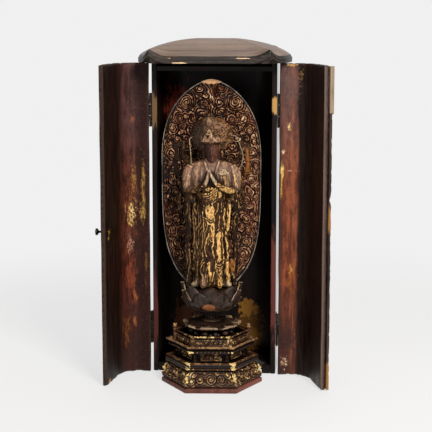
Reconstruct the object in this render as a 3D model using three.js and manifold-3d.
// A portable lacquered shrine cabinet with two hinged doors and a domed roof.
// It holds a standing many-armed figure on a lotus, a tiered pedestal and a carved halo.
// Millimetres, +Z up, the front faces -Y, the origin is under the centre of the pedestal.
import * as THREE from "three";
import { mergeVertices } from "three/addons/utils/BufferGeometryUtils.js";
import Module from "manifold-3d";

const wasm = await Module();
wasm.setup();

// Cabinet
const CABINET_HALF_WIDTH = 84;
const CABINET_DEPTH = 85;
const CABINET_CORNER = 34;
const WALL = 7;
const WALL_TOP = 423.6;
const CABINET_X = -1.6;
const CABINET_Y = 44;
const FIT = 0.3;
const CEILING_Z = 412;
const CEILING_THICK = 6;
const FLOOR_THICK = 12;
const NOTCH_RADIUS = 70;
const NOTCH_CENTRE = 9;

// Roof
const ROOF_Z = 424;
const RIM_HEIGHT = 6.8;
const RIM_LIP = 6;
const CUSP_HALF = 79;
const EAVE_FRONT = -62;
const EAVE_BACK = 98;
const EAVE_TIP_HALF = 103;
const CUSP_LIFT = 10.5;
const CUSP_REACH = 25;
const DOME_HEIGHT = 25;
const DOME_CENTRE_Y = 18;

// Doors, each drawn closed around its hinge axis and then swung open
const DOOR_THICK = 6;
const DOOR_BOTTOM = 1;
const DOOR_TOP = 423;
const DOOR_SIDE = 9.5;
const DOOR_CORNER = 30;
const DOOR_TURN = 85;
const DOOR_REVEAL = 1;
const CENTRE_GAP = 0.5;
const AXIS_OUT = 1.9;
const LEFT_OPEN = 91.7;
const RIGHT_OPEN = 102.3;
const STRIP_WIDTH = 10;
const STRIP_OVERLAP = 4;
const STRIP_THICK = 5.4;
const STRIP_WORN = 3.4;
const STRIP_BREAK_Z = 362;
const STRIP_CHIP_Z = 255;

// Hinges
const KNUCKLE = 1.5;
const LEAF_THICK = 0.8;
const LEAF_REACH = 13;
const HINGE_HEIGHT = 45;
const HINGE_CLEAR = 0.4;
const UPPER_HINGE_Z = 360;
const LOWER_HINGE_Z = 62;

// Knob
const KNOB_Z = 205;
const KNOB_FROM_EDGE = 15;

// Statue
const STATUE_TURN = 4.7;
const HALO_FRONT = 45;
const HALO_THICK = 5.5;
const HALO_X = -1.5;
const HALO_HALF = 66.8;
const HALO_WIDEST_Z = 292;
const HALO_RISE = 109;
const HALO_DROP = 180;
const HALO_POST_WIDTH = 14;
const HALO_POST_LOW = 61;
const HALO_POST_HIGH = 125;
const SEAT_TOP = 132;
const LOTUS_TOP = 129;
const WAIST_RADIUS = 42;
const WAIST_LOW = 36.3;
const WAIST_HIGH = 49;
const PANEL_WIDTH = 28;
const RAIL_RADIUS = 49;
const RAIL_FOOT = 58.3;

const rad = THREE.MathUtils.degToRad;
const model = new THREE.Group();

function finish(name, color, roughness, metalness) {
  return new THREE.MeshStandardMaterial({ name, color, roughness, metalness });
}

const LACQUER = finish("black_lacquer", 0x2a1a15, 0.35, 0);
const BROWN_WOOD = finish("brown_lacquer", 0x4a2a1c, 0.5, 0);
const WORN_ROOF = finish("worn_roof_lacquer", 0x7a6a5e, 0.6, 0);
const RED_WOOD = finish("red_brown_lacquer", 0x64322d, 0.5, 0);
const GILT = finish("worn_gilding", 0xb08a4a, 0.45, 0.3);
const LOTUS_BRONZE = finish("grey_bronze_lacquer", 0x45413d, 0.5, 0);
const HALO_WOOD = finish("carved_halo_lacquer", 0x45261c, 0.5, 0);
const BRASS = finish("aged_brass", 0x8a6a35, 0.4, 0.9);
const IRON = finish("dark_iron", 0x2b2a29, 0.5, 0.8);

function put(parent, name, geometry, material) {
  const mesh = new THREE.Mesh(geometry, material);
  mesh.name = name;
  parent.add(mesh);
  return mesh;
}

function volumeOf(geometry) {
  const p = geometry.attributes.position;
  const index = geometry.index;
  const a = new THREE.Vector3();
  const b = new THREE.Vector3();
  const c = new THREE.Vector3();
  let sum = 0;
  for (let i = 0; i < index.count; i += 3) {
    a.fromBufferAttribute(p, index.getX(i));
    b.fromBufferAttribute(p, index.getX(i + 1));
    c.fromBufferAttribute(p, index.getX(i + 2));
    sum += a.dot(b.cross(c)) / 6;
  }
  return sum;
}

// A closed solid through rings of points, with a fan on the first and last ring
function loft(rings) {
  const count = rings[0].length;
  const points = rings.flat().flat();
  const faces = [];
  for (let r = 0; r + 1 < rings.length; r += 1) {
    for (let i = 0; i < count; i += 1) {
      const j = (i + 1) % count;
      const low = r * count;
      const high = low + count;
      faces.push(low + i, low + j, high + j, low + i, high + j, high + i);
    }
  }
  const fan = (ring, start, flip) => {
    const centre = points.length / 3;
    for (let k = 0; k < 3; k += 1) {
      points.push(ring.reduce((sum, p) => sum + p[k], 0) / count);
    }
    for (let i = 0; i < count; i += 1) {
      const j = (i + 1) % count;
      faces.push(centre, start + (flip ? j : i), start + (flip ? i : j));
    }
  };
  fan(rings[0], 0, true);
  fan(rings[rings.length - 1], (rings.length - 1) * count, false);
  const geometry = new THREE.BufferGeometry();
  geometry.setAttribute("position", new THREE.Float32BufferAttribute(points, 3));
  geometry.setIndex(faces);
  if (volumeOf(geometry) < 0) {
    for (let i = 0; i < faces.length; i += 3) {
      [faces[i + 1], faces[i + 2]] = [faces[i + 2], faces[i + 1]];
    }
    geometry.setIndex(faces);
  }
  return geometry;
}

function solid(geometry) {
  const bare = geometry.clone();
  bare.deleteAttribute("normal");
  bare.deleteAttribute("uv");
  const merged = mergeVertices(bare, 1e-4);
  return new wasm.Manifold(new wasm.Mesh({
    numProp: 3,
    vertProperties: new Float32Array(merged.attributes.position.array),
    triVerts: new Uint32Array(merged.index.array),
  }));
}

function geometryOf(manifold) {
  const mesh = manifold.getMesh();
  const geometry = new THREE.BufferGeometry();
  geometry.setAttribute("position", new THREE.BufferAttribute(mesh.vertProperties, 3));
  geometry.setIndex(new THREE.BufferAttribute(mesh.triVerts, 1));
  return geometry;
}

function join(geometries) {
  const [first, ...rest] = geometries.map(solid);
  return geometryOf(rest.reduce((sum, next) => sum.add(next), first));
}

function cut(geometry, ...tools) {
  return geometryOf(tools.reduce((rest, tool) => rest.subtract(solid(tool)), solid(geometry)));
}

function upright(points, bottom, top) {
  const shape = new THREE.Shape(points.map(([x, y]) => new THREE.Vector2(x, y)));
  const geometry = new THREE.ExtrudeGeometry(shape, { depth: top - bottom, bevelEnabled: false });
  return geometry.translate(0, 0, bottom);
}

function block(x, y, z, width, depth, height) {
  return new THREE.BoxGeometry(width, depth, height).translate(x, y, z);
}

function ellipseRing(x, y, z, width, depth, count) {
  return Array.from({ length: count }, (_, i) => {
    const a = (2 * Math.PI * i) / count;
    return [x + width * Math.cos(a), y + depth * Math.sin(a), z];
  });
}

// A tapering limb through stations of [x, y, z, radius]
function limb(stations, sides = 4) {
  const at = stations.map(([x, y, z]) => new THREE.Vector3(x, y, z));
  const rings = stations.map((station, i) => {
    const before = at[Math.max(i - 1, 0)];
    const after = at[Math.min(i + 1, at.length - 1)];
    const ahead = after.clone().sub(before).normalize();
    const hint = Math.abs(ahead.y) > 0.9 ? new THREE.Vector3(1, 0, 0) : new THREE.Vector3(0, 1, 0);
    const side = hint.cross(ahead).normalize();
    const up = ahead.clone().cross(side);
    return Array.from({ length: sides }, (_, k) => {
      const a = (2 * Math.PI * k) / sides;
      const p = at[i].clone();
      p.addScaledVector(side, station[3] * Math.cos(a));
      p.addScaledVector(up, station[3] * Math.sin(a));
      return p.toArray();
    });
  });
  return loft(rings);
}

function ball(x, y, z, radius, detail = 8) {
  return new THREE.SphereGeometry(radius, detail, Math.max(4, detail / 2)).translate(x, y, z);
}

function arcPoints(cx, cy, radius, from, to, steps) {
  return Array.from({ length: steps + 1 }, (_, i) => {
    const a = rad(from + ((to - from) * i) / steps);
    return [cx + radius * Math.cos(a), cy + radius * Math.sin(a)];
  });
}

// Cabinet plan: open front at y = 0, rounded back corners
function cabinetPlan(inset, front) {
  const half = CABINET_HALF_WIDTH - inset;
  const back = CABINET_DEPTH - inset;
  const radius = CABINET_CORNER - inset;
  return [
    [half, front],
    ...arcPoints(half - radius, back - radius, radius, 0, 90, 7),
    ...arcPoints(radius - half, back - radius, radius, 90, 180, 7),
    [-half, front],
  ];
}

function cabinetShell() {
  const outer = cabinetPlan(0, 0);
  const inner = cabinetPlan(WALL, 0).reverse();
  return upright([...outer, ...inner], 0, WALL_TOP);
}

function ceilingBoard() {
  return upright(cabinetPlan(WALL + FIT, 1), CEILING_Z, CEILING_Z + CEILING_THICK);
}

function hexagon(radius, centreY = 0) {
  return Array.from({ length: 6 }, (_, i) => [
    radius * Math.cos(rad(60 * i)),
    centreY + radius * Math.sin(rad(60 * i)),
  ]);
}

function floorBoard() {
  const board = upright(cabinetPlan(WALL + FIT, 1), 0, FLOOR_THICK);
  return cut(board, upright(hexagon(NOTCH_RADIUS, NOTCH_CENTRE), -1, FLOOR_THICK + 1));
}

// Roof eave plan, counter-clockwise from the left front cusp
function eavePoints() {
  const front = 8;
  const side = 7;
  const points = [];
  for (let i = 0; i < front; i += 1) {
    points.push([CUSP_HALF * ((2 * i) / front - 1), EAVE_FRONT]);
  }
  for (let i = 0; i < side; i += 1) {
    points.push(eaveSide(i / side, 1));
  }
  for (let i = 0; i < front; i += 1) {
    points.push([CUSP_HALF * (1 - (2 * i) / front), EAVE_BACK]);
  }
  for (let i = 0; i < side; i += 1) {
    points.push(eaveSide(1 - i / side, -1));
  }
  return points;
}

function eaveSide(t, sign) {
  const bulge = Math.pow(Math.sin(Math.PI * t), 0.7);
  const x = CUSP_HALF + (EAVE_TIP_HALF - CUSP_HALF) * bulge;
  return [sign * x, EAVE_FRONT + (EAVE_BACK - EAVE_FRONT) * t];
}

function cuspLift([x, y]) {
  const nearest = Math.hypot(
    Math.abs(Math.abs(x) - CUSP_HALF),
    Math.min(Math.abs(y - EAVE_FRONT), Math.abs(y - EAVE_BACK)),
  );
  return CUSP_LIFT * Math.pow(Math.max(0, 1 - nearest / CUSP_REACH), 2);
}

function roofCap() {
  const eave = eavePoints();
  const toward = ([x, y], s) => [x * (1 - s), DOME_CENTRE_Y + (y - DOME_CENTRE_Y) * (1 - s)];
  const ring = (s, height, liftShare) => eave.map((p) => {
    const [x, y] = toward(p, s);
    return [x, y, height + cuspLift(p) * liftShare];
  });
  const rings = [
    ring(RIM_LIP / EAVE_TIP_HALF, ROOF_Z, 0),
    ring(0.02, ROOF_Z, 0.75),
    ring(0, ROOF_Z + 1, 0.9),
    ring(0, ROOF_Z + RIM_HEIGHT - 1, 1),
    ring(0.015, ROOF_Z + RIM_HEIGHT, 1),
  ];
  for (const s of [0.05, 0.11, 0.2, 0.38, 0.7]) {
    const rise = Math.pow(1 - Math.pow(1 - s, 2.2), 0.73);
    rings.push(ring(s, ROOF_Z + RIM_HEIGHT + DOME_HEIGHT * rise, Math.pow(1 - s, 6)));
  }
  return loft(rings);
}

// Door section in closed position for the right side, with the hinge axis at the origin.
// It starts beside the hinge, runs forward, turns the corner and reaches the centre line.
function doorFace(offset) {
  const start = [-AXIS_OUT - offset, -DOOR_REVEAL];
  const bendY = -DOOR_REVEAL - DOOR_SIDE;
  const radius = DOOR_CORNER + DOOR_THICK - offset;
  const centreX = -AXIS_OUT - DOOR_CORNER - DOOR_THICK;
  const bend = arcPoints(centreX, bendY, radius, 0, -DOOR_TURN, 8);
  const [lastX, lastY] = bend[bend.length - 1];
  const edgeX = -(CABINET_HALF_WIDTH + AXIS_OUT) + CENTRE_GAP;
  const run = (lastX - edgeX) / Math.sin(rad(DOOR_TURN));
  return [start, ...bend, [edgeX, lastY - run * Math.cos(rad(DOOR_TURN))]];
}

function mirrored(points, side) {
  return side > 0 ? points : points.map(([x, y]) => [-x, y]).reverse();
}

function doorPanel(side) {
  const section = [...doorFace(0), ...doorFace(DOOR_THICK).reverse()];
  return upright(mirrored(section, side), DOOR_BOTTOM, DOOR_TOP);
}

// A frame on the outer face near the free edge: x along the face, y outward
function freeEdgeFrame() {
  const face = doorFace(0);
  const [x, y] = face[face.length - 1];
  return { x, y, turn: rad(90 - DOOR_TURN) };
}

function astragal() {
  const { x, y, turn } = freeEdgeFrame();
  const lip = 0.5;
  const levels = [
    [DOOR_BOTTOM + 1, STRIP_WORN],
    [STRIP_CHIP_Z - 9, STRIP_WORN],
    [STRIP_CHIP_Z - 7, STRIP_WORN - 1.6],
    [STRIP_CHIP_Z, STRIP_WORN - 1.8],
    [STRIP_CHIP_Z + 2, STRIP_WORN],
    [STRIP_BREAK_Z, STRIP_WORN],
    [STRIP_BREAK_Z + 1, STRIP_THICK],
    [DOOR_TOP - 1, STRIP_THICK],
  ];
  const rings = levels.map(([z, thick]) => {
    const section = [
      [-STRIP_OVERLAP, -lip],
      [STRIP_WIDTH - STRIP_OVERLAP, -lip],
      [STRIP_WIDTH - STRIP_OVERLAP, -lip - thick + 1],
      [STRIP_WIDTH - STRIP_OVERLAP - 1, -lip - thick],
      [1 - STRIP_OVERLAP, -lip - thick],
      [-STRIP_OVERLAP, -lip - thick + 1],
    ];
    return section.map(([u, v]) => [
      x + u * Math.cos(turn) - v * Math.sin(turn),
      y + u * Math.sin(turn) + v * Math.cos(turn),
      z,
    ]);
  });
  return loft(rings);
}

// Hinge leaf: the cabinet leaf has the outer knuckles, the door leaf the middle one
function hingeLeaf(side, z, onCabinet) {
  const direction = onCabinet ? 1 : -1;
  const share = HINGE_HEIGHT / 3;
  const plateX = side * (FIT + LEAF_THICK / 2 - AXIS_OUT + 0.1);
  const plateStart = KNUCKLE + HINGE_CLEAR;
  const plateDepth = LEAF_REACH - plateStart;
  const plateY = direction * (plateStart + plateDepth / 2);
  const parts = [block(plateX, plateY, z, LEAF_THICK, plateDepth, HINGE_HEIGHT)];
  for (let i = onCabinet ? 0 : 1; i < 3; i += 2) {
    const middle = z + (i - 1) * share;
    const height = share - HINGE_CLEAR;
    const barrel = new THREE.CylinderGeometry(KNUCKLE, KNUCKLE, height, 6);
    parts.push(barrel.rotateX(Math.PI / 2).translate(0, 0, middle));
    const tab = direction * plateStart / 2;
    parts.push(block(plateX, tab + direction * 0.1, middle, LEAF_THICK, plateStart + 0.2, height));
  }
  return join(parts);
}

function hingeGroup(side) {
  const group = new THREE.Group();
  group.position.set(CABINET_X + side * (CABINET_HALF_WIDTH + AXIS_OUT), CABINET_Y, 0);
  model.add(group);
  return group;
}

// Turned fittings with their axis along +Y, standing on y = 0
function turned(profile) {
  return new THREE.LatheGeometry(profile.map(([r, h]) => new THREE.Vector2(r, h)), 10);
}

function pullKnob() {
  return turned([
    [0, 0], [4.2, 0], [4.2, 1.2], [2, 1.8], [1.6, 6.5], [3.6, 7.6], [4.6, 9], [4.4, 10.6], [0, 11.4],
  ]);
}

function rosette() {
  return turned([[0, 0], [4.4, 0], [4.4, 0.7], [3.2, 1.4], [2.2, 0.9], [1.4, 1.8], [0, 2]]);
}

// Stands a turned fitting on the left door, on its outer face or through to its inner face
function addFitting(swing, name, geometry, material, inside) {
  const face = freeEdgeFrame();
  const outward = { x: -Math.sin(face.turn), y: -Math.cos(face.turn) };
  const away = inside ? -(DOOR_THICK + FIT) : FIT;
  const sign = inside ? -1 : 1;
  const mesh = put(swing, name, geometry, material);
  mesh.position.set(
    -(face.x + KNOB_FROM_EDGE * Math.cos(face.turn)) + outward.x * away,
    face.y + KNOB_FROM_EDGE * Math.sin(face.turn) + outward.y * away,
    KNOB_Z,
  );
  mesh.rotation.z = Math.atan2(-sign * outward.x, sign * outward.y);
}

function addDoor(side, openAngle) {
  const name = side > 0 ? "right" : "left";
  const fixed = hingeGroup(side);
  const swing = hingeGroup(side);
  swing.rotation.z = side * rad(openAngle);
  put(swing, `${name}_door_panel`, doorPanel(side), LACQUER);
  for (const [level, z] of [["upper", UPPER_HINGE_Z], ["lower", LOWER_HINGE_Z]]) {
    put(fixed, `${name}_${level}_hinge_cabinet_leaf`, hingeLeaf(side, z, true), IRON);
    put(swing, `${name}_${level}_hinge_door_leaf`, hingeLeaf(side, z, false), IRON);
  }
  if (side > 0) {
    put(swing, "right_door_meeting_strip", astragal(), BROWN_WOOD);
    return;
  }
  addFitting(swing, "left_door_pull_knob", pullKnob(), IRON, false);
  addFitting(swing, "left_door_inner_rosette", rosette(), BRASS, true);
}

// Statue
const statue = new THREE.Group();
statue.rotation.z = rad(STATUE_TURN);
model.add(statue);

// A ring on a hexagon with each side split, and an optional lift and flare near the corners
function hexRing(radius, z, lift = 0, flare = 0, wave = 0) {
  const split = 4;
  const points = [];
  for (let i = 0; i < 6; i += 1) {
    const a = rad(60 * i);
    const b = rad(60 * (i + 1));
    for (let k = 0; k < split; k += 1) {
      const t = k / split;
      const corner = Math.pow(Math.abs(2 * t - 1), 4);
      const bump = wave * Math.abs(Math.sin(2 * Math.PI * t));
      const r = radius + flare * corner + bump;
      const x = Math.cos(a) * (1 - t) + Math.cos(b) * t;
      const y = Math.sin(a) * (1 - t) + Math.sin(b) * t;
      points.push([r * x, r * y, z + lift * corner]);
    }
  }
  return points;
}

function plainRing(radius, z) {
  return hexagon(radius).map(([x, y]) => [x, y, z]);
}

function baseBoard() {
  return loft([plainRing(66.6, 0), plainRing(67.2, 0.8), plainRing(67.2, 5), plainRing(65.5, 6)]);
}

function scrollTier() {
  return loft([
    hexRing(61, 6.3, 0, 1, 0), hexRing(64, 8, 0, 1.5, 1), hexRing(64, 13, 0, 1.5, 2.2),
    hexRing(60.5, 16, 0, 1, 0.6), hexRing(63, 19, 0, 1, 1.8), hexRing(60, 24, 0, 0.6, 1.6),
    hexRing(57, 27, 0, 0.4, 0), hexRing(56, 28.6, 0, 0, 0),
  ]);
}

// The lip stands a little above the seat of the waist.
function steppedMoulding() {
  return loft([
    plainRing(59, 28.9), plainRing(62.2, 30.2), plainRing(62.2, 35.6), plainRing(60.2, 38.4),
    plainRing(57, 38.6), plainRing(52, 36.5), plainRing(49, 36),
  ]);
}

function dado() {
  const height = WAIST_HIGH - WAIST_LOW;
  const middleZ = (WAIST_LOW + WAIST_HIGH) / 2;
  const faceReach = WAIST_RADIUS * Math.cos(rad(30));
  const parts = [loft([plainRing(WAIST_RADIUS, WAIST_LOW), plainRing(WAIST_RADIUS, WAIST_HIGH)])];
  for (let i = 0; i < 6; i += 1) {
    const a = rad(60 * i);
    const post = new THREE.CylinderGeometry(3.2, 3.2, height, 6).rotateX(Math.PI / 2);
    parts.push(post.translate(WAIST_RADIUS * Math.cos(a), WAIST_RADIUS * Math.sin(a), middleZ));
    const middle = rad(60 * i + 30);
    const panel = block(0, 0, 0, 2.4, PANEL_WIDTH, height - 2).rotateZ(middle);
    parts.push(panel.translate(faceReach * Math.cos(middle), faceReach * Math.sin(middle), middleZ));
  }
  return join(parts);
}

// Two layers with a groove between them, and a rim that turns up all round
function platform() {
  return loft([
    hexRing(44, 49.3), hexRing(56, 50.6, 0, 1.5), hexRing(56, 54, 0, 1.5), hexRing(53.5, 54.8, 0, 1),
    hexRing(55.5, 56.2, 0, 1.5), hexRing(58.4, 58.4, 0.4, 2.4), hexRing(58.2, 60.4, 0.4, 2.4),
    hexRing(54, 58),
  ]);
}

// The two front posts have lost their finials
function balustrade() {
  const parts = [];
  const finial = [[1.7, 14.3], [3.3, 17], [2.4, 20.2], [0, 22]];
  for (let i = 0; i < 6; i += 1) {
    const a = rad(60 * i);
    const top = i === 4 || i === 5 ? [[0, 14]] : finial;
    const post = [[0, 0], [2.6, 0], [2.6, 13.5], ...top];
    const baluster = new THREE.LatheGeometry(post.map(([r, h]) => new THREE.Vector2(r, h)), 6);
    const [x, y] = [RAIL_RADIUS * Math.cos(a), RAIL_RADIUS * Math.sin(a)];
    parts.push(baluster.rotateX(Math.PI / 2).translate(x, y, RAIL_FOOT));
    const middle = rad(60 * i + 30);
    const reach = RAIL_RADIUS * Math.cos(rad(30));
    for (const [thick, height, z] of [[2.2, 1.8, 12.7], [1.3, 9.5, 5.1]]) {
      const rail = block(0, 0, 0, thick, RAIL_RADIUS, height).rotateZ(middle);
      parts.push(rail.translate(reach * Math.cos(middle), reach * Math.sin(middle), RAIL_FOOT + z));
    }
  }
  return join(parts);
}

function leafTray() {
  const count = 24;
  const ring = (radius, z, wave, lift) => Array.from({ length: count }, (_, i) => {
    const a = (2 * Math.PI * i) / count;
    const swell = Math.sin(6 * a);
    const r = radius + wave * swell;
    return [r * Math.cos(a), r * Math.sin(a), z + lift * swell];
  });
  return loft([
    ring(11, 58.3, 0, 0), ring(12, 71, 0, 0), ring(22, 76, 0.5, 0), ring(33, 78, 1.5, 0.8),
    ring(37.5, 81, 2, 1.2), ring(36.5, 83, 2, 1.2), ring(10, 83, 0, 0),
  ]);
}

function lotusStem() {
  const profile = [
    [0, 83.3], [12, 83.3], [13, 86], [8, 88], [7, 91], [9, 94], [14, 96], [14, 97.4], [0, 97.4],
  ];
  const lathe = new THREE.LatheGeometry(profile.map(([r, h]) => new THREE.Vector2(r, h)), 16);
  return lathe.rotateX(Math.PI / 2);
}

function petal(angle, foot, bottom, reach, top, width) {
  const steps = 2;
  const rings = [];
  for (let i = 0; i <= steps; i += 1) {
    const t = i / steps;
    const r = foot + (reach - foot) * Math.sin((t * Math.PI) / 2);
    const z = bottom + (top - bottom) * Math.pow(t, 1.4);
    const half = Math.max(0.8, width * Math.pow(Math.sin(Math.PI * (0.18 + 0.78 * t)), 0.7));
    const thick = 1.6;
    rings.push([[r - thick, 0, z + 0.4], [r, -half, z], [r + 2, 0, z - 0.6], [r, half, z]]);
  }
  return loft(rings).rotateZ(angle);
}

function lotusSeat() {
  const bowl = [
    [0, 97.7], [12, 97.7], [20, 100], [30, 108], [36, 118], [37, 126], [34, LOTUS_TOP], [0, LOTUS_TOP],
  ];
  const core = new THREE.LatheGeometry(bowl.map(([r, h]) => new THREE.Vector2(r, h)), 16);
  const parts = [core.rotateX(Math.PI / 2)];
  for (let i = 0; i < 8; i += 1) {
    parts.push(petal(rad(45 * i - 90), 29, 103, 41, 136, 13));
    parts.push(petal(rad(45 * i - 67.5), 22, 100, 40.5, 124, 12));
  }
  return join(parts);
}

// Halo outline: widest at one height, slightly pointed above, fuller and rounder below
function haloPoint(angle, share) {
  const s = Math.abs(Math.sin(angle));
  const up = Math.sin(angle) > 0;
  const width = up ? Math.pow(1 - Math.pow(s, 2.5), 0.62) : Math.pow(1 - Math.pow(s, 4), 0.55);
  const x = HALO_HALF * Math.sign(Math.cos(angle)) * width;
  const rise = up ? HALO_RISE * s : -HALO_DROP * s;
  return [HALO_X + x * share, HALO_WIDEST_Z + rise * share];
}

function halo() {
  const count = 32;
  const rows = [1, 0.965, 0.93, 0.75, 0.4];
  const relief = (angle, share) => {
    if (share > 0.95) {
      return 2.2;
    }
    if (share > 0.9) {
      return 0.4;
    }
    return 1.4 + 1.2 * Math.sin(9 * angle + 14 * share) * Math.cos(21 * share);
  };
  const ring = (share, y) => Array.from({ length: count }, (_, i) => {
    const angle = (2 * Math.PI * (i + 0.5)) / count;
    const [x, z] = haloPoint(angle, share);
    return [x, typeof y === "function" ? y(angle, share) : y, z];
  });
  const back = HALO_FRONT + HALO_THICK;
  const front = (angle, share) => HALO_FRONT - relief(angle, share);
  const rings = [ring(0.2, back), ring(0.97, back), ring(1, back - 1)];
  for (const share of rows) {
    rings.push(ring(share, front));
  }
  const post = block(
    0, HALO_FRONT + HALO_THICK / 2, (HALO_POST_LOW + HALO_POST_HIGH) / 2,
    HALO_POST_WIDTH, HALO_THICK - 1, HALO_POST_HIGH - HALO_POST_LOW,
  );
  return join([loft(rings), post]);
}

// Robed body: rings of [height, half width, half depth, centre y]
function robe() {
  const levels = [
    [131, 24, 15, 0], [134, 27, 17, 0], [146, 25, 15, 0], [172, 23, 14, 0],
    [206, 23.5, 14.5, -1], [232, 24, 14.5, 0], [252, 22, 14, 0],
    [264, 26, 15, 0], [276, 31, 16, 0], [286, 33, 15, 1], [293, 28, 13, 1], [299, 14, 10, 1],
    [303, 8, 8, 0],
  ];
  const count = 12;
  return loft(levels.map(([z, w, d, y]) => Array.from({ length: count }, (_, i) => {
    const a = (2 * Math.PI * i) / count;
    const fold = z < 260 ? 0.05 * Math.sin(5 * a + z / 22) : 0.02 * Math.sin(5 * a);
    return [w * (1 + fold) * Math.cos(a), y + d * (1 + fold) * Math.sin(a), z];
  })));
}

function head() {
  const levels = [
    [296, 7, 7, 0], [299, 7.5, 9, -1], [303, 8.6, 10.5, -1], [311, 9.7, 11.5, -0.5],
    [320, 10.4, 11.6, 0.5], [324, 12.5, 12.5, 1], [330, 12, 12, 1],
    [336, 9, 9.5, 1], [340, 7, 7.5, 1], [346, 4, 4.5, 1],
  ];
  const skull = loft(levels.map(([z, w, d, y]) => ellipseRing(0, y, z, w, d, 10)));
  const nose = loft([
    [[-1.8, -10, 304], [1.8, -10, 304], [0, -13.2, 304.5]],
    [[-0.8, -10, 312], [0.8, -10, 312], [0, -12, 312]],
  ]);
  return [skull, nose];
}

function headdress() {
  const parts = [];
  const band = ellipseRing(0, 0.5, 320, 12.4, 13.2, 10);
  const brim = ellipseRing(0, 0.5, 325, 13.6, 14.4, 10);
  const inner = ellipseRing(0, 0.5, 326, 12, 12.6, 10);
  parts.push(loft([band, brim, inner]));
  for (const [angle, height] of [[-90, 12], [-130, 8], [-50, 8]]) {
    const a = rad(angle);
    const x = 12.6 * Math.cos(a);
    const y = 0.5 + 13.4 * Math.sin(a);
    const leaf = new THREE.ConeGeometry(5, height, 4).rotateX(Math.PI / 2).scale(1, 0.45, 1);
    parts.push(leaf.rotateZ(a + Math.PI / 2).translate(x, y, 323 + height / 2));
  }
  const crest = new THREE.SphereGeometry(1, 10, 7).scale(28.5, 10, 24);
  parts.push(crest.translate(0, 3.5, 328.5));
  parts.push(ball(-1.6, -3, 347, 5.5, 8));
  return parts;
}

function arms(side) {
  const s = side;
  return [
    limb([[s * 27, 0, 287, 7.5], [s * 31, -2, 272, 7], [s * 30, -6, 261, 6.5]]),
    limb([[s * 31, -4, 260, 5.6], [s * 19, -16, 263, 4.6], [s * 5, -23, 268, 3.2]]),
    limb([[s * 2.2, -22, 266, 3], [s * 1.8, -24, 276, 3.1], [s * 0.8, -25, 287, 1.2]]),
    limb([[s * 27, -2, 262, 6], [s * 27, -7, 248, 6], [s * 15, -17, 244, 4.6], [s * 4, -22, 250, 3.4]]),
    limb([[s * 26, 6, 288, 5], [s * 40, 8, 282, 4.4], [s * 46, 4, 283, 4]]),
    limb([[s * 46, 4, 281, 4], [s * 47, 2, 296, 3.6], [s * 46, 0, 306, 2.8], [s * 46, -1, 316, 2]]),
    limb([[s * 24, 7, 292, 4.6], [s * 34, 9, 296, 4], [s * 38, 6, 304, 3.4], [s * 38, 3, 318, 2.6]]),
    limb([[s * 26, 6, 270, 5], [s * 40, 8, 256, 4.4], [s * 44, 2, 246, 3.8], [s * 42, -4, 240, 2.6]]),
  ];
}

function scarves(side) {
  const s = side;
  return [
    limb([[s * 29, -9, 256, 3.6], [s * 31, -9, 235, 3.2], [s * 28, -8, 205, 3], [s * 31, -8, 175, 3],
      [s * 28, -8, 150, 3], [s * 30, -7, 131.5, 3.2]]),
    limb([[s * 30, 4, 262, 4.4], [s * 33, 3, 230, 3.6], [s * 30, 3, 190, 3.4], [s * 31, 3, 150, 3.4],
      [s * 27, 2, 132, 3.6]]),
  ];
}

function frontFolds() {
  const parts = [];
  for (const [z, width] of [[230, 13], [217, 12], [203, 10]]) {
    const stations = Array.from({ length: 5 }, (_, i) => {
      const t = (2 * i) / 4 - 1;
      return [width * t, -13.4 - 1.2 * (1 - t * t), z - 9 * (1 - t * t), 1.7];
    });
    parts.push(limb(stations));
  }
  for (const s of [-1, 1]) {
    parts.push(limb([[s * 10, -13, 196, 3], [s * 9.5, -13.5, 165, 3.4], [s * 9, -14, 136, 4]]));
  }
  parts.push(limb([[0, -14.5, 204, 2], [1, -15, 170, 2.4], [0, -14.5, 134, 3]]));
  return parts;
}

function feet() {
  return [-1, 1].map((s) => limb([
    [s * 9, -4, 133.6, 4], [s * 9.5, -14, 133.4, 4], [s * 10, -23, 131.8, 2.2],
  ], 5));
}

function figure() {
  const seatLow = LOTUS_TOP + FIT;
  const seat = block(0, 0, (seatLow + SEAT_TOP) / 2, 50, 24, SEAT_TOP - seatLow);
  const bowl = ball(0, -24, 254, 6.5, 8);
  return join([
    robe(), seat, ...head(), ...headdress(), ...arms(-1), ...arms(1), ...scarves(-1), ...scarves(1),
    ...frontFolds(), ...feet(), bowl,
  ]);
}

function addStatue() {
  put(statue, "pedestal_base_board", baseBoard(), RED_WOOD);
  put(statue, "pedestal_scroll_tier", scrollTier(), BROWN_WOOD);
  put(statue, "pedestal_stepped_moulding", steppedMoulding(), BROWN_WOOD);
  put(statue, "pedestal_panelled_waist", dado(), BROWN_WOOD);
  put(statue, "pedestal_platform", platform(), BROWN_WOOD);
  put(statue, "pedestal_balustrade", balustrade(), BROWN_WOOD);
  put(statue, "pedestal_leaf_tray", leafTray(), LOTUS_BRONZE);
  put(statue, "lotus_stem", lotusStem(), LOTUS_BRONZE);
  put(statue, "lotus_seat", lotusSeat(), LOTUS_BRONZE);
  put(statue, "halo", halo(), HALO_WOOD);
  put(statue, "figure", figure(), GILT);
}

function addCabinet() {
  const cabinet = new THREE.Group();
  cabinet.position.set(CABINET_X, CABINET_Y, 0);
  model.add(cabinet);
  put(cabinet, "cabinet_wall", cabinetShell(), LACQUER);
  put(cabinet, "cabinet_ceiling", ceilingBoard(), LACQUER);
  put(cabinet, "cabinet_floor", floorBoard(), LACQUER);
  put(cabinet, "roof", roofCap(), WORN_ROOF);
  addDoor(-1, LEFT_OPEN);
  addDoor(1, RIGHT_OPEN);
}

addCabinet();
addStatue();

export default model;
